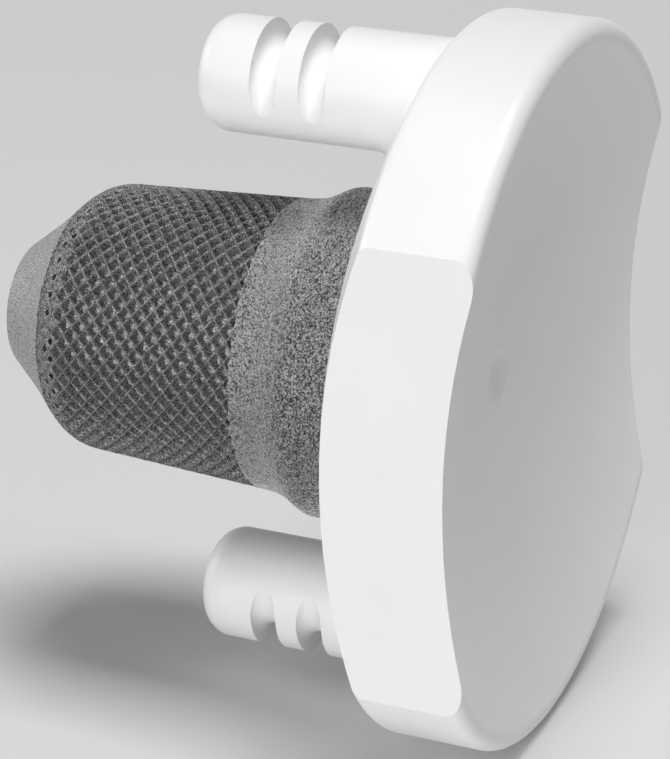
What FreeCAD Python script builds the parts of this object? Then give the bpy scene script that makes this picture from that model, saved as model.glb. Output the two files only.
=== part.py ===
import FreeCAD, Part
import math
import os

os.makedirs("parts", exist_ok=True)
Vec = FreeCAD.Vector

# Glenoid component of a shoulder replacement, in millimetres.
# X runs from the bone side to the articular face, Z is superior, Y is across.
# The origin is on the axis of the central post, at the apex of the convex back.
AXIS = Vec(1, 0, 0)
ORIGIN = Vec(0, 0, 0)

# Bearing shell: a disc turned with two spherical faces, flattened on two sides
outline_radius = 17.0
half_width = 13.35
back_radius = 34.9
articular_radius = 39.75
centre_thickness = 6.0
rim_reach = 12.0
front_edge_round = 0.73
back_edge_round = 0.55

# Dimple at the centre of the articular face
dimple_radius = 1.27
dimple_depth = 0.45

# Two side pegs, above and below the post, as near the rim as their root rounding allows
peg_radius = 2.75
peg_root_round = 1.15
peg_offset = outline_radius - peg_radius - peg_root_round
peg_end = -8.4
peg_inside = 5.0
peg_end_round = 1.3

# Cement grooves: eccentric rings, deepest on the side away from the post
groove_width = 1.34
groove_centres = (-4.74, -2.32)
groove_floor_radius = 2.5
groove_eccentricity = 0.95
groove_floor_round = 0.6

# Central post: nose, lattice zone, collar and the stem hidden in the bearing
nose_tip = -18.2
nose_tip_radius = 3.08
nose_tip_round = 0.3
nose_base = -16.27
nose_base_radius = 4.64
nose_base_round = 1.5
lattice_start = -15.0
lattice_start_radius = 5.82
shoulder = -14.3
shoulder_radius = 6.51
shoulder_round = 2.5
lattice_end = -4.28
lattice_end_radius = 7.04
lattice_ledge = 0.04
neck = -3.17
neck_radius = 7.165
neck_round = 3.2
flange = -1.87
flange_radius = 7.92
flange_round = 1.2

# Diamond lattice: cells around the post, rows of cells, and how deep they sink
cells_around = 45
cell_rows = 14
cell_depth = 0.4
sewing_tolerance = 0.001

# Seat of the flange and stem with its locking ridge
seat = 1.2
seat_clearance = 0.03
flange_chamfer = 0.35
stem_radius = 3.2
stem_end = 3.6
stem_chamfer = 0.3
ridge_radius = 3.65
ridge_start = 2.0
ridge_crest = 2.3
ridge_stop = 3.0
bore_end_gap = 0.1


def outline_edges(corners):
    """Lines through the corners (x, radius, rounding), each corner rounded by an arc."""
    points = [Vec(x, 0, r) for x, r, rounding in corners]
    edges = []
    last = points[0]
    for i in range(1, len(points) - 1):
        rounding = corners[i][2]
        if rounding == 0:
            edges.append(Part.makeLine(last, points[i]))
            last = points[i]
            continue
        before = (points[i - 1] - points[i]).normalize()
        after = (points[i + 1] - points[i]).normalize()
        half_angle = before.getAngle(after) / 2
        reach = rounding / math.tan(half_angle)
        start = points[i] + before * reach
        stop = points[i] + after * reach
        middle = (before + after).normalize()
        bulge = rounding / math.sin(half_angle) - rounding
        edges.append(Part.makeLine(last, start))
        edges.append(Part.Arc(start, points[i] + middle * bulge, stop).toShape())
        last = stop
    edges.append(Part.makeLine(last, points[-1]))
    return edges


def turned_surface(corners):
    """Surface swept by an open outline turned about the post axis."""
    return Part.Wire(outline_edges(corners)).revolve(ORIGIN, AXIS, 360)


def turned_solid(corners, axis_height=0.0):
    """Solid swept by a closed outline turned about an axis parallel to the post axis."""
    closed = corners + [corners[0]]
    face = Part.Face(Part.Wire(outline_edges(closed)))
    face.translate(Vec(0, 0, axis_height))
    return face.revolve(Vec(0, 0, axis_height), AXIS, 360)


def circles_at(shape, radius):
    """Full circular edges of one radius, ordered along the post axis."""
    found = []
    for edge in shape.Edges:
        if isinstance(edge.Curve, Part.Circle) and abs(edge.Curve.Radius - radius) < 0.001:
            found.append(edge)
    return sorted(found, key=lambda edge: edge.Curve.Center.x)


def stem_outline(growth):
    """Stem with its locking ridge, grown evenly for the bore that receives it."""
    end = stem_end + growth
    return [
        (seat, 0, 0),
        (seat, stem_radius + growth, 0),
        (ridge_start - growth, stem_radius + growth, 0),
        (ridge_crest - growth, ridge_radius + growth, 0),
        (ridge_stop + growth, stem_radius + growth, 0),
        (end - stem_chamfer, stem_radius + growth, 0),
        (end, stem_radius + growth - stem_chamfer, 0),
        (end, 0, 0),
    ]


def peg(side):
    """One side peg with a rounded end, before its grooves are cut."""
    foot = Vec(peg_end, 0, side * peg_offset)
    pin = Part.makeCylinder(peg_radius, peg_inside - peg_end, foot, AXIS)
    return pin.makeFillet(peg_end_round, [circles_at(pin, peg_radius)[0]])


def groove(side, centre):
    """Ring cutter for one groove, off the peg axis towards the post."""
    low = centre - groove_width / 2
    high = centre + groove_width / 2
    clear = 2 * peg_radius + groove_eccentricity
    ring = [
        (low, clear, 0),
        (low, groove_floor_radius, groove_floor_round),
        (high, groove_floor_radius, groove_floor_round),
        (high, clear, 0),
    ]
    return turned_solid(ring, side * (peg_offset - groove_eccentricity))


def root_edges(shape):
    """Closed curves where the pegs leave the convex back."""
    found = []
    for edge in shape.Edges:
        box = edge.BoundBox
        at_peg = abs(abs(box.Center.z) - peg_offset) < 0.2 and abs(box.Center.y) < 0.01
        if at_peg and box.YLength > 1.9 * peg_radius and box.XMin > 0:
            found.append(edge)
    return found


# Bearing, compression moulded polyethylene with its two pegs in one piece
blank = Part.makeCylinder(outline_radius, rim_reach, ORIGIN, AXIS)
back_ball = Part.makeSphere(back_radius, Vec(back_radius, 0, 0))
front_ball = Part.makeSphere(articular_radius, Vec(centre_thickness + articular_radius, 0, 0))
bearing = blank.common(back_ball).cut(front_ball)
for side in (1, -1):
    bearing = bearing.fuse(peg(side))
bearing = bearing.makeFillet(peg_root_round, root_edges(bearing))
rims = circles_at(bearing, outline_radius)
bearing = bearing.makeFillet(front_edge_round, [rims[-1]])
rims = circles_at(bearing, outline_radius)
bearing = bearing.makeFillet(back_edge_round, [rims[0]])

flats = Part.makeBox(4 * outline_radius, 2 * half_width, 4 * outline_radius)
flats.translate(Vec(-2 * outline_radius, -half_width, -2 * outline_radius))
bearing = bearing.common(flats)

for side in (1, -1):
    for centre in groove_centres:
        bearing = bearing.cut(groove(side, centre))

dimple_ball_radius = (dimple_radius ** 2 + dimple_depth ** 2) / (2 * dimple_depth)
dimple_centre = Vec(centre_thickness - dimple_depth + dimple_ball_radius, 0, 0)
bearing = bearing.cut(Part.makeSphere(dimple_ball_radius, dimple_centre))

seat_pocket = Part.makeCylinder(flange_radius + seat_clearance, seat, ORIGIN, AXIS)
bearing = bearing.cut(seat_pocket)
bore = stem_outline(seat_clearance)
bore_floor = stem_end + bore_end_gap
bore[-2] = (bore_floor, bore[-2][1], 0)
bore[-1] = (bore_floor, 0, 0)
bearing = bearing.cut(turned_solid(bore))

# Lattice rows stand at equal steps along the post, over the shoulder and the taper
zone = [
    (lattice_start, lattice_start_radius, 0),
    (shoulder, shoulder_radius, shoulder_round),
    (lattice_end, lattice_end_radius, 0),
]
zone_outline = Part.Wire(outline_edges(zone))
last_row = 2 * cell_rows


def zone_point(row):
    """Point of the lattice outline at one row; rows are half cells."""
    x = lattice_start + (lattice_end - lattice_start) * row / last_row
    ray = Part.makeLine(Vec(x, 0, 0), Vec(x, 0, outline_radius))
    distance, spots, details = zone_outline.distToShape(ray)
    return spots[0][0]


zone_points = [zone_point(row) for row in range(last_row + 1)]


def lattice_point(row, column, depth):
    """Point of the diamond net; columns are half cells, depth is measured inward."""
    at = zone_points[row]
    turn = math.pi * column / cells_around
    radius = at.z - depth
    return Vec(at.x, radius * math.sin(turn), radius * math.cos(turn))


def triangle(a, b, c):
    return Part.Face(Part.makePolygon([a, b, c, a]))


# Each cell is a diamond of four struts around a sunken centre
lattice = []
for row in range(last_row + 1):
    for k in range(cells_around):
        column = 2 * k + 1 - row % 2
        sides = [lattice_point(row, column - 1, 0), lattice_point(row, column + 1, 0)]
        if row == 0 or row == last_row:
            inward = 1 if row == 0 else last_row - 1
            sides.insert(1, lattice_point(inward, column, 0))
            lattice.append(triangle(*sides))
            continue
        ahead = lattice_point(row + 1, column, 0)
        behind = lattice_point(row - 1, column, 0)
        pit = lattice_point(row, column, cell_depth)
        ring = [sides[0], ahead, sides[1], behind, sides[0]]
        for i in range(4):
            lattice.append(triangle(ring[i], ring[i + 1], pit))

# Post, built up in titanium as one piece around the same axis
nose = turned_surface([
    (nose_tip, 0, 0),
    (nose_tip, nose_tip_radius, nose_tip_round),
    (nose_base, nose_base_radius, nose_base_round),
    (lattice_start, lattice_start_radius - lattice_ledge, 0),
])
collar = turned_surface([
    (lattice_end, lattice_end_radius - lattice_ledge, 0),
    (neck, neck_radius, neck_round),
    (flange, flange_radius, flange_round),
    (seat - flange_chamfer, flange_radius, 0),
    (seat, flange_radius - flange_chamfer, 0),
] + stem_outline(0)[1:])


def ledge(row, circle):
    """Flat ring between the end row of the lattice and the smooth part beside it."""
    corners = [lattice_point(row, 2 * k, 0) for k in range(cells_around)]
    return Part.Face([Part.makePolygon(corners + [corners[0]]), Part.Wire([circle])])


nose_rim = circles_at(nose, lattice_start_radius - lattice_ledge)[-1]
collar_rim = circles_at(collar, lattice_end_radius - lattice_ledge)[0]
skin = lattice + nose.Faces + collar.Faces + [ledge(0, nose_rim), ledge(last_row, collar_rim)]
shell = Part.makeCompound(skin)
shell.sewShape()
post = Part.Solid(shell.Shells[0])
post.fix(sewing_tolerance, sewing_tolerance, sewing_tolerance)

for name, shape in (("bearing", bearing), ("post", post)):
    solid = shape.Solids[0]
    print(name, len(shape.Solids), solid.isValid(), round(solid.Volume, 1), len(solid.Faces))
    solid.exportStep("parts/" + name + ".step")
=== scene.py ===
import bpy
import numpy as np
from mathutils import Matrix, Vector


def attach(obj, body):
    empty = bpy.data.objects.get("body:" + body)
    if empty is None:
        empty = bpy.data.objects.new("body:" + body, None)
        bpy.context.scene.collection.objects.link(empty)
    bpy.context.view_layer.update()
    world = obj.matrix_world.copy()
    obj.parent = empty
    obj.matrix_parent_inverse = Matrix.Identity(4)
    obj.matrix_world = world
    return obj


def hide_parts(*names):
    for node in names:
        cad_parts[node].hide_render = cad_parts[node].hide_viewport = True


# Shoulder glenoid component, in metres: X from the bone to the articular face, Z superior,
# and the origin on the post's axis at the apex of the bearing's back.
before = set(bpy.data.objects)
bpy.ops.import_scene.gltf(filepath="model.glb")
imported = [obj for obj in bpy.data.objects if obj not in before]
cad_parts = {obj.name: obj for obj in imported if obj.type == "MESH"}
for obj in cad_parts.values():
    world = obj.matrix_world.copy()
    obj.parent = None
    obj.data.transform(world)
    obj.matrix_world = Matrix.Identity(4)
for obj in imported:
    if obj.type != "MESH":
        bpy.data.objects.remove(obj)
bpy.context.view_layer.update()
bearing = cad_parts["bearing"]

# Camera: a long lens from the front, a little to the right and above.
camera_place = (0.0461063, -0.1164987, 0.0498443)
camera_right = (0.92251, 0.38588, 0.00820)
camera_up = (-0.15239, 0.34462, 0.92629)
camera_back = (0.35461, -0.85577, 0.37672)
camera = bpy.data.objects.new("camera", bpy.data.cameras.new("camera"))
bpy.context.scene.collection.objects.link(camera)
camera_turn = Matrix((camera_right, camera_up, camera_back)).transposed().to_4x4()
camera.matrix_world = Matrix.Translation(camera_place) @ camera_turn
camera.data.lens = 135.49
camera.data.clip_start = 0.01
bpy.context.scene.camera = camera
bpy.context.scene.view_settings.view_transform = "Standard"

# Studio: a pale floor just under the rim, soft boxes above, at the upper right, in front and
# at the left, and a room whose light is dim. Wherever they are seen directly or in a
# reflection, the room and the far floor have the same pale tone.
pale = (0.75, 0.75, 0.75, 1)
floor_height = -0.0172
floor_size = 4.0
floor_corners = np.array([(-1, -1), (1, -1), (1, 1), (-1, 1)]) * floor_size / 2
floor_mesh = bpy.data.meshes.new("floor")
floor_mesh.from_pydata([(x, y, floor_height) for x, y in floor_corners], [], [(0, 1, 2, 3)])
floor = bpy.data.objects.new("floor", floor_mesh)
bpy.context.scene.collection.objects.link(floor)


def seen_ray(tree):
    """1 for the rays that see a surface directly, in a reflection or through glass, else 0."""
    ray = tree.nodes.new("ShaderNodeLightPath")
    seen = ray.outputs["Is Camera Ray"]
    for other in ("Is Glossy Ray", "Is Transmission Ray"):
        larger = tree.nodes.new("ShaderNodeMath")
        larger.operation = "MAXIMUM"
        tree.links.new(seen, larger.inputs[0])
        tree.links.new(ray.outputs[other], larger.inputs[1])
        seen = larger.outputs["Value"]
    return seen


def mix_shaders(tree, factor, first, second, output):
    """Goes from one shader to another with a factor, on the surface of an output node."""
    mix = tree.nodes.new("ShaderNodeMixShader")
    tree.links.new(factor, mix.inputs["Fac"])
    tree.links.new(first, mix.inputs[1])
    tree.links.new(second, mix.inputs[2])
    tree.links.new(mix.outputs["Shader"], tree.nodes[output].inputs["Surface"])


floor_paint = bpy.data.materials.new("floor paint")
floor_paint.use_nodes = True
tree = floor_paint.node_tree
floor_shader = tree.nodes["Principled BSDF"]
floor_shader.inputs["Base Color"].default_value = pale
floor_shader.inputs["Roughness"].default_value = 0.8
floor_mesh.materials.append(floor_paint)

# the floor runs over into the pale tone between these distances from the object
fade_start = 0.06
fade_end = 0.45
far_floor = tree.nodes.new("ShaderNodeEmission")
far_floor.inputs["Color"].default_value = pale
distance = tree.nodes.new("ShaderNodeVectorMath")
distance.operation = "LENGTH"
floor_place = tree.nodes.new("ShaderNodeTexCoord").outputs["Object"]
tree.links.new(floor_place, distance.inputs[0])
fade = tree.nodes.new("ShaderNodeMapRange")
fade.interpolation_type = "SMOOTHSTEP"
fade.inputs["From Min"].default_value = fade_start
fade.inputs["From Max"].default_value = fade_end
tree.links.new(distance.outputs["Value"], fade.inputs["Value"])
far_seen = tree.nodes.new("ShaderNodeMath")
far_seen.operation = "MULTIPLY"
tree.links.new(fade.outputs["Result"], far_seen.inputs[0])
tree.links.new(seen_ray(tree), far_seen.inputs[1])
mix_shaders(tree, far_seen.outputs["Value"], floor_shader.outputs["BSDF"],
            far_floor.outputs["Emission"], "Material Output")

room = bpy.data.worlds.new("room")
bpy.context.scene.world = room
room.use_nodes = True
tree = room.node_tree
room_light = tree.nodes["Background"]
room_light.inputs["Color"].default_value = (1, 1, 1, 1)
room_light.inputs["Strength"].default_value = 0.1
wall_seen = tree.nodes.new("ShaderNodeBackground")
wall_seen.inputs["Color"].default_value = pale
mix_shaders(tree, seen_ray(tree), room_light.outputs["Background"],
            wall_seen.outputs["Background"], "World Output")


def soft_box(name, place, side, power):
    """Square area lamp of a side and power, at a place, facing the origin."""
    lamp = bpy.data.lights.new(name, "AREA")
    lamp.size = side
    lamp.energy = power
    box = bpy.data.objects.new(name, lamp)
    bpy.context.scene.collection.objects.link(box)
    turn = Vector(place).to_track_quat("Z", "Y").to_matrix().to_4x4()
    box.matrix_world = Matrix.Translation(place) @ turn


soft_box("top box", (0.044, 0.0, 0.498), 0.20, 1.44)
soft_box("right top box", (0.187, 0.0, 0.464), 0.20, 0.30)
soft_box("front box", (0.0, -0.5, 0.085), 0.20, 1.39)
soft_box("left box", (-0.492, 0.0, 0.125), 0.25, 0.50)


# Bearing: compression moulded polyethylene, its dish and back turned smooth. The solid
# keeps its own mesh and gets the satin skin of the moulded and turned plastic.
def fine_grain_group():
    """Fine noise as Grain and slow noise as Cloud, both at a vector's place."""
    group = bpy.data.node_groups.new("fine grain", "ShaderNodeTree")
    sockets = group.interface
    sockets.new_socket("Vector", in_out="INPUT", socket_type="NodeSocketVector")
    for name in ("Grains per metre", "Clouds per metre"):
        sockets.new_socket(name, in_out="INPUT", socket_type="NodeSocketFloat")
    for name in ("Grain", "Cloud"):
        sockets.new_socket(name, in_out="OUTPUT", socket_type="NodeSocketFloat")
    nodes, links = group.nodes, group.links
    source = nodes.new("NodeGroupInput")
    result = nodes.new("NodeGroupOutput")
    for name, scale, detail in (("Grain", "Grains per metre", 2), ("Cloud", "Clouds per metre", 3)):
        noise = nodes.new("ShaderNodeTexNoise")
        noise.inputs["Detail"].default_value = detail
        links.new(source.outputs["Vector"], noise.inputs["Vector"])
        links.new(source.outputs[scale], noise.inputs["Scale"])
        links.new(noise.outputs["Fac"], result.inputs[name])
    return group


fine_grain = fine_grain_group()


def grain_in(tree, grains, clouds):
    """Places the fine grain in a material, with so many grains and clouds per metre."""
    grain = tree.nodes.new("ShaderNodeGroup")
    grain.node_tree = fine_grain
    grain.inputs["Grains per metre"].default_value = grains
    grain.inputs["Clouds per metre"].default_value = clouds
    place = tree.nodes.new("ShaderNodeTexCoord").outputs["Object"]
    tree.links.new(place, grain.inputs["Vector"])
    return grain


def grey(tone):
    """Colour with the same red, green and blue."""
    return (tone, tone, tone)


def colour_between(tree, factor, low, high, start=0.3, stop=0.7):
    """Ramp from one colour to another as a factor goes from start to stop."""
    ramp = tree.nodes.new("ShaderNodeValToRGB")
    ramp.color_ramp.elements[0].position = start
    ramp.color_ramp.elements[0].color = (*low, 1)
    ramp.color_ramp.elements[1].position = stop
    ramp.color_ramp.elements[1].color = (*high, 1)
    tree.links.new(factor, ramp.inputs["Fac"])
    return ramp.outputs["Color"]


def raised(tree, height, distance, strength):
    """Normal of a bump whose height pattern, from 0 to 1, stands for so many metres."""
    bump = tree.nodes.new("ShaderNodeBump")
    bump.inputs["Distance"].default_value = distance
    bump.inputs["Strength"].default_value = strength
    tree.links.new(height, bump.inputs["Height"])
    return bump.outputs["Normal"]


plastic = bpy.data.materials.new("satin polyethylene")
plastic.use_nodes = True
tree = plastic.node_tree
plastic_skin = tree.nodes["Principled BSDF"]
plastic_skin.inputs["IOR"].default_value = 1.5
plastic_grain = grain_in(tree, grains=5000, clouds=150)
cloud = plastic_grain.outputs["Cloud"]
white = colour_between(tree, cloud, (0.835, 0.835, 0.83), (0.865, 0.865, 0.86))
tree.links.new(white, plastic_skin.inputs["Base Color"])
satin = colour_between(tree, cloud, grey(0.34), grey(0.42))
tree.links.new(satin, plastic_skin.inputs["Roughness"])
relief = raised(tree, plastic_grain.outputs["Grain"], distance=0.000004, strength=0.5)
tree.links.new(relief, plastic_skin.inputs["Normal"])
bearing.data.materials.clear()
bearing.data.materials.append(plastic)


# Nose of the post: the solid titanium tip, built up with the post and left as a fine
# granular surface. It is turned about the post axis, and its ragged edge laps over the lattice.
millimetre = 0.001


def rounded_outline(corners, step=0.00012):
    """Lines through corners (x, radius, rounding) in millimetres, each rounded by an arc.

    An arc's centre lies on the line that halves the corner's angle. Its points are spread
    over the chord and then moved out to the arc. The outline (x, radius), in metres, has
    these points and others at even steps between them.
    """
    corners = np.array(corners) * millimetre
    spots = corners[:, :2]
    path = [spots[:1]]
    arc_points = 9
    for before, spot, after, rounding in zip(spots, spots[1:], spots[2:], corners[1:, 2]):
        back = (before - spot) / np.linalg.norm(before - spot)
        ahead = (after - spot) / np.linalg.norm(after - spot)
        half = np.arccos(back @ ahead) / 2
        middle = (back + ahead) / np.linalg.norm(back + ahead)
        centre = spot + middle * rounding / np.sin(half)
        start = spot + back * rounding / np.tan(half) - centre
        stop = spot + ahead * rounding / np.tan(half) - centre
        share = np.linspace(0, 1, arc_points)[:, None]
        chord = start * (1 - share) + stop * share
        length = np.linalg.norm(chord, axis=1, keepdims=True)
        path.append(centre + chord / np.maximum(length, 1e-12) * rounding)
    path.append(spots[-1:])
    path = np.concatenate(path)
    reach = np.concatenate([[0], np.cumsum(np.linalg.norm(np.diff(path, axis=0), axis=1))])
    stops = np.unique(np.concatenate([reach, np.arange(0, reach[-1], step)]))
    least_step = step * 0.05
    stops = stops[np.concatenate([[True], np.diff(stops) > least_step])]
    return np.stack([np.interp(stops, reach, path[:, i]) for i in (0, 1)], axis=1)


def mesh_piece(name, points, faces):
    """Smooth object from an array of points and an array of four-sided faces."""
    mesh = bpy.data.meshes.new(name)
    mesh.vertices.add(len(points))
    mesh.vertices.foreach_set("co", points.astype(np.float32).ravel())
    mesh.loops.add(faces.size)
    mesh.loops.foreach_set("vertex_index", faces.astype(np.int32).ravel())
    mesh.polygons.add(len(faces))
    mesh.polygons.foreach_set("loop_start", np.arange(0, faces.size, 4, dtype=np.int32))
    mesh.polygons.foreach_set("use_smooth", np.ones(len(faces), dtype=bool))
    mesh.update(calc_edges=True)
    mesh.validate()
    piece = bpy.data.objects.new(name, mesh)
    bpy.context.scene.collection.objects.link(piece)
    return piece


def turned_piece(name, x, r, angle, pole):
    """Surface (x, r cos t, r sin t) over outline steps and angles t, closed at one end.

    Faces that each span two columns run from that end to a point on the axis. The pole is 0
    where the first step is closed and -1 where the last one is.
    """
    points = np.stack([x, r * np.cos(angle), r * np.sin(angle)], axis=2).reshape(-1, 3)
    steps, columns = x.shape
    number = np.arange(steps * columns).reshape(steps, columns)
    ahead = np.roll(number, -1, axis=1)
    walls = np.stack([number[:-1], number[1:], ahead[1:], ahead[:-1]], axis=2)
    end = number[pole]
    tip = np.full_like(end, len(points))
    cap = np.stack([tip, end, np.roll(end, -1), np.roll(end, -2)], axis=1)[::2]
    cap = cap if pole == 0 else cap[:, ::-1]
    points = np.append(points, [(x[pole, 0], 0, 0)], axis=0)
    return mesh_piece(name, points, np.concatenate([walls.reshape(-1, 4), cap]))


post_outline = rounded_outline([
    (-18.2, 0.3, 0),
    (-18.2, 3.08, 0.3),
    (-16.27, 4.64, 1.5),
    (-14.3, 6.51, 2.5),
    (-4.28, 7.04, 0),
    (-3.17, 7.165, 3.2),
    (-1.87, 7.92, 1.2),
    (0.85, 7.92, 0),
    (1.2, 7.57, 0),
    (1.2, 0.3, 0),
])
flange_end = np.argmax(post_outline[:, 0])


def post_radius(x):
    """Radius of the post at any place between its tip and the end of its flange."""
    return np.interp(x, post_outline[1:flange_end, 0], post_outline[1:flange_end, 1])


def averaged(values, times):
    """Values of a grid, each replaced by the mean of itself and its four neighbours.

    The result is scaled to a standard deviation of 1.
    """
    for _ in range(times):
        across = np.roll(values, 1, axis=1) + np.roll(values, -1, axis=1)
        values = (values + np.roll(values, 1, axis=0) + np.roll(values, -1, axis=0) + across) / 5
    return values / values.std()


nose_columns = 720
nose_shift = 0.4  # share of a column by which the nose stands turned
nose_angle = (np.arange(nose_columns) + nose_shift) * 2 * np.pi / nose_columns
plain_end = -0.0156
ragged_end = -0.01517
ragged_reach = 0.00005
lapped_steps = 7
proud = 0.00001
tucked = np.array([0.0001, 0.0003])[:, None]  # drops of the edge into the post
noise_rows = 9
nose_noise = np.random.default_rng(3).normal(0, 1, (noise_rows, nose_columns))
nose_edge = ragged_end + ragged_reach * averaged(nose_noise, 1)[0]
nose_plain = post_outline[post_outline[:, 0] < plain_end]
share = np.linspace(0, 1, lapped_steps + 1)[1:, None]
lapped_x = nose_plain[-1, 0] * (1 - share) + nose_edge * share
lapped_r = post_radius(lapped_x) + proud
nose_x = [nose_plain[:, :1] + 0 * nose_angle, lapped_x, nose_edge + 0 * tucked]
nose_r = [nose_plain[:, 1:] + 0 * nose_angle, lapped_r, lapped_r[-1] - tucked]
nose = turned_piece("post_nose", np.concatenate(nose_x), np.concatenate(nose_r), nose_angle, 0)


def granular_metal(name, grains, clouds, tones, tone_stops, roughness, distance, strength):
    """Titanium whose tone and relief follow the grains and whose roughness the clouds.

    Each pair holds the lowest and the highest value. The tone's output comes back as well.
    """
    metal = bpy.data.materials.new(name)
    metal.use_nodes = True
    tree = metal.node_tree
    skin = tree.nodes["Principled BSDF"]
    skin.inputs["Metallic"].default_value = 0.35
    grain = grain_in(tree, grains, clouds)
    tone = colour_between(tree, grain.outputs["Grain"], grey(tones[0]), grey(tones[1]), *tone_stops)
    tree.links.new(tone, skin.inputs["Base Color"])
    rough = colour_between(tree, grain.outputs["Cloud"], grey(roughness[0]), grey(roughness[1]))
    tree.links.new(rough, skin.inputs["Roughness"])
    relief = raised(tree, grain.outputs["Grain"], distance, strength)
    tree.links.new(relief, skin.inputs["Normal"])
    return metal, tone


nose_metal, _ = granular_metal(
    "fine granular titanium", grains=16000, clouds=900, tones=(0.03, 0.385),
    tone_stops=(0.36, 0.52), roughness=(0.5, 0.65), distance=0.00002, strength=0.5)
nose.data.materials.append(nose_metal)
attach(nose, "root")

# Lattice: a net of fine titanium struts in diamonds all round the post, built up with it in
# layers for the bone to grow into. Each cell drops steeply from its struts to a node of the
# layer behind them.
cells_around = 45
cell_turn = 2 * np.pi / cells_around
cell_length = 0.0007657
first_row = -0.01487
row_count = 28
net_shift = 0.025  # turn of the whole net, as a share of a cell
spokes = 8
# share of the cell's width, depth in millimetres and roundness of each ring of a cell
rings = np.array([
    (1.00, 0.00, 0.0),
    (0.92, 0.01, 0.0),
    (0.84, 0.14, 0.1),
    (0.72, 0.38, 0.5),
    (0.58, 0.50, 1.0),
    (0.30, 0.52, 1.0),
])
round_width = 0.7  # radius of a wholly round ring, as a share of the diamond's half width
row, column = np.meshgrid(np.arange(-1, row_count), np.arange(cells_around), indexing="ij")
centre_x = first_row + row * cell_length / 2
centre_turn = cell_turn * (column + 0.5 * ((row + 1) % 2) + net_shift)
spoke = np.arange(spokes) * 2 * np.pi / spokes
circle = np.stack([np.cos(spoke), np.sin(spoke)])
diamond = circle / np.abs(circle).sum(axis=0)
width, roundness = rings[:, 0, None], rings[:, 2, None]
along, across = (
    np.append(width * (diamond[i] * (1 - roundness) + round_width * circle[i] * roundness), 0)
    for i in (0, 1)
)


def on_points(ring_values, middle_value):
    """Value of each ring at all its points, in order, and that of the cell's middle point."""
    return np.append(np.repeat(ring_values, spokes), middle_value)


def below(x, depth):
    """Place (x, radius) that lies a depth under the post's surface, square to it.

    The slope is the rise of the radius over a short stretch about x. The place is moved
    against the surface's normal, (-slope, 1) over its length.
    """
    reach = 0.00005
    slope = (post_radius(x + reach) - post_radius(x - reach)) / (2 * reach)
    lean = np.sqrt(1 + slope ** 2)
    return x + depth * slope / lean, post_radius(x) - depth / lean


# the first rows are closed by lumps of metal, most of them with a small pore
closed_rows = 3
open_depth = on_points(rings[:, 1], rings[-1, 1]) * millimetre
lump_depth = on_points([0, 0.10, 0.12, 0.06, 0.02, 0], 0) * millimetre
pore_depth = on_points([0, 0.02, 0.03, 0.02, 0.10, 0.75], 0.9) * millimetre
pore_width = on_points([1, 1, 1, 1, 0.75, 1], 1)
chance = np.random.default_rng(7)
pore_share = np.select([row == 1, row == 2], [0.9, 0.6], 0)
has_pore = (chance.uniform(0, 1, row.shape) < pore_share)[..., None]
closed = (row < closed_rows)[..., None]
narrow = np.where(has_pore, pore_width, 1)
x = (centre_x[..., None] + along * narrow * cell_length / 2).ravel()
turn_at = (centre_turn[..., None] + across * narrow * cell_turn / 2).ravel()
sunk = np.where(has_pore, pore_depth, np.where(closed, lump_depth, open_depth))

# the depth that a point is painted for: painted shade, a pore is painted as dark as its bottom up
# to its edge
pore_edge = 0.00009
pore_shade_depth = 0.0009
shade = np.where(has_pore & (sunk > pore_edge), pore_shade_depth, sunk).ravel()
sunk = sunk.ravel()

# neighbouring cells share the points of their struts, which fall on the same marks
marks_per_metre = 1e7
marks_per_cell = 4000
keys = np.stack([
    np.round(x * marks_per_metre),
    np.round(turn_at / cell_turn * marks_per_cell) % (marks_per_cell * cells_around),
    np.round(sunk * marks_per_metre),
])
_, first, shared = np.unique(keys, axis=1, return_index=True, return_inverse=True)
shared = shared.reshape(row.size, -1)
x, turn_at, sunk, shade = x[first], turn_at[first], sunk[first], shade[first]

# no strut is quite straight or in its place
uneven_x = 0.000008
uneven_turn = 0.0012
uneven_depth = 0.00002
x = x + chance.normal(0, uneven_x, x.shape)
turn_at = turn_at + chance.normal(0, uneven_turn, x.shape)
sunk = sunk * chance.uniform(0.9, 1.1, x.shape) + chance.uniform(0, uneven_depth, x.shape)
x, r = below(x, sunk)
lattice_points = np.stack([x, r * np.cos(turn_at), r * np.sin(turn_at)], axis=-1)

# walls between the rings of a cell, and four faces that close its innermost ring
ring_no, spoke_no = np.meshgrid(np.arange(len(rings) - 1), np.arange(spokes), indexing="ij")
here = ring_no * spokes + spoke_no
beside = ring_no * spokes + (spoke_no + 1) % spokes
cell_walls = np.stack([here, beside, beside + spokes, here + spokes], axis=-1).reshape(-1, 4)
innermost = (len(rings) - 1) * spokes
corner = np.arange(0, spokes, 2)
cell_floor = innermost + np.stack(
    [corner, corner + 1, (corner + 2) % spokes, np.full_like(corner, spokes)], axis=1)
cell_faces = np.concatenate([cell_walls, cell_floor])
lattice_faces = shared[:, cell_faces].reshape(-1, 4)
lattice = mesh_piece("post_lattice", lattice_points, lattice_faces)


def depth_for(tree, piece, depth):
    """Gives each point of a piece a depth in millimetres, which its material's tree reads to paint
    light and shade.
    """
    mark = piece.data.attributes.new("depth", "FLOAT", "POINT")
    mark.data.foreach_set("value", (depth / millimetre).astype(np.float32))
    read = tree.nodes.new("ShaderNodeAttribute")
    read.attribute_name = "depth"
    return read.outputs["Fac"]


def shade_by(tree, tone, factor):
    """Base colour that is the product of a tone and a factor."""
    product = tree.nodes.new("ShaderNodeMix")
    product.data_type = "RGBA"
    product.blend_type = "MULTIPLY"
    product.inputs["Factor"].default_value = 1
    tree.links.new(tone, product.inputs["A"])
    tree.links.new(factor, product.inputs["B"])
    skin = tree.nodes["Principled BSDF"]
    tree.links.new(product.outputs["Result"], skin.inputs["Base Color"])


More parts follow.
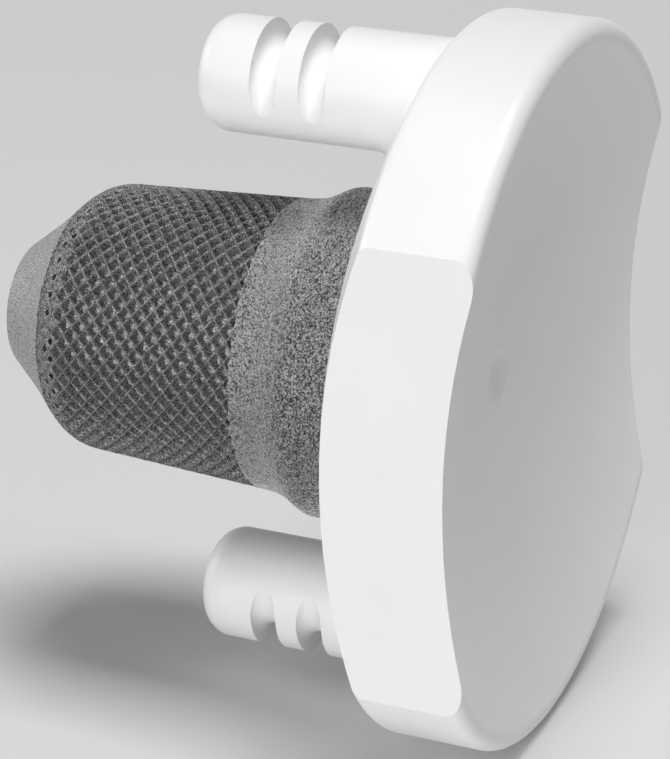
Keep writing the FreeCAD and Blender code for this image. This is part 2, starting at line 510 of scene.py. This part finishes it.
lattice_metal, lattice_tone = granular_metal(
    "lattice titanium", grains=16000, clouds=1500, tones=(0.04, 0.70),
    tone_stops=(0.41, 0.59), roughness=(0.45, 0.6), distance=0.00002, strength=0.5)
lattice.data.materials.append(lattice_metal)
tree = lattice_metal.node_tree
# painted light and shade as a factor at each depth in millimetres: the struts and walls keep about
# one tone, the nodes are painted light for their highlights and the pores are painted dark for
# their shade
light_and_shade_by_depth = tree.nodes.new("ShaderNodeValToRGB")
tree.links.new(depth_for(tree, lattice, shade), light_and_shade_by_depth.inputs["Fac"])
light_and_shade_stops = light_and_shade_by_depth.color_ramp.elements
light_and_shade_stops[0].color = (*grey(0.44), 1)
light_and_shade_stops.remove(light_and_shade_stops[1])
for depth, factor in ((0.12, 0.48), (0.42, 0.47), (0.50, 0.80), (0.58, 0.80), (0.64, 0.02)):
    light_and_shade_stops.new(depth).color = (*grey(factor), 1)
shade_by(tree, lattice_tone, light_and_shade_by_depth.outputs["Color"])
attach(lattice, "root")

# Collar of the post: titanium built up in coarse grains and flared to the flange that seats
# in the bearing. Its skin is full of fine pits, closer together on the flange, and its ragged
# edge laps over the last cells of the lattice.
collar_columns = 820
collar_angle = np.arange(collar_columns) * 2 * np.pi / collar_columns
collar_outline = rounded_outline([
    (-4.28, 7.04, 0),
    (-3.17, 7.165, 3.2),
    (-1.87, 7.92, 1.2),
    (0.85, 7.92, 0),
], step=0.000054)
outline_x = collar_outline[:, :1]
collar_grid = (len(collar_outline), collar_columns)
chance = np.random.default_rng(11)
speck = chance.normal(0, 1, collar_grid)
ragged = averaged(chance.normal(0, 1, collar_grid), 6)[0]

# the edge is drawn out over the cells, most at its very end
lap = 0.00030
lap_unevenness = 0.000035
lap_fade = 0.0012
edge_lap = lap + lap_unevenness * ragged
collar_x = outline_x - edge_lap * np.clip(1 - (outline_x - outline_x[0]) / lap_fade, 0, 1)

# a speck above its limit is a pit, and the more so the higher it lies above it
flange_start = -0.0030
flange_blend = 0.0010
pit_limit = 0.4
flange_drop = 0.6
pit_softness = 0.8
deepest_pit = 0.00009
seat_start = 0.0008
seat_blend = 0.0001
on_flange = np.clip((collar_x - flange_start) / flange_blend, 0, 1)
pit_from = pit_limit - flange_drop * on_flange
pit_depth = deepest_pit * np.clip((speck - pit_from) / pit_softness, 0, 1)
pit_depth = pit_depth * np.clip((seat_start - collar_x) / seat_blend, 0, 1)
collar_x, collar_r = below(collar_x, pit_depth)

# the edge drops into the post, and the seated end closes the flange inside the bearing
edge_drop = np.array([0.0005, 0.0002])[:, None]
seat_end = np.array([(1.2, 7.57), (1.2, 4.0), (1.2, 0.3)]) * millimetre
wide = 0 * collar_angle
whole_x = [collar_x[0] + 0 * edge_drop, collar_x, seat_end[:, :1] + wide]
whole_r = [collar_r[0] - edge_drop, collar_r, seat_end[:, 1:] + wide]
collar = turned_piece(
    "post_collar", np.concatenate(whole_x), np.concatenate(whole_r), collar_angle, -1)

collar_metal, collar_tone = granular_metal(
    "coarse granular titanium", grains=17000, clouds=900, tones=(0.03, 0.42),
    tone_stops=(0.36, 0.54), roughness=(0.5, 0.65), distance=0.00003, strength=0.6)
collar.data.materials.append(collar_metal)
tree = collar_metal.node_tree
collar_skin = tree.nodes["Principled BSDF"]
collar_skin.inputs["Sheen Weight"].default_value = 1.0
collar_skin.inputs["Sheen Roughness"].default_value = 0.4
# painted shade: each pit is painted darker the deeper it is, and the dropped edge as dark as a pit
# of this depth
drop_shade = 0.00005  # the dropped edge is as dark as a pit of this depth
whole_depth = [0 * edge_drop + drop_shade + wide, pit_depth, 0 * seat_end[:, :1] + wide]
collar_depth = np.append(np.concatenate(whole_depth).ravel(), 0)
read_depth = depth_for(tree, collar, collar_depth)
pit_shade = colour_between(tree, read_depth, grey(0.84), grey(0.08), start=0.01, stop=0.08)
shade_by(tree, collar_tone, pit_shade)
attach(collar, "root")
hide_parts("post")
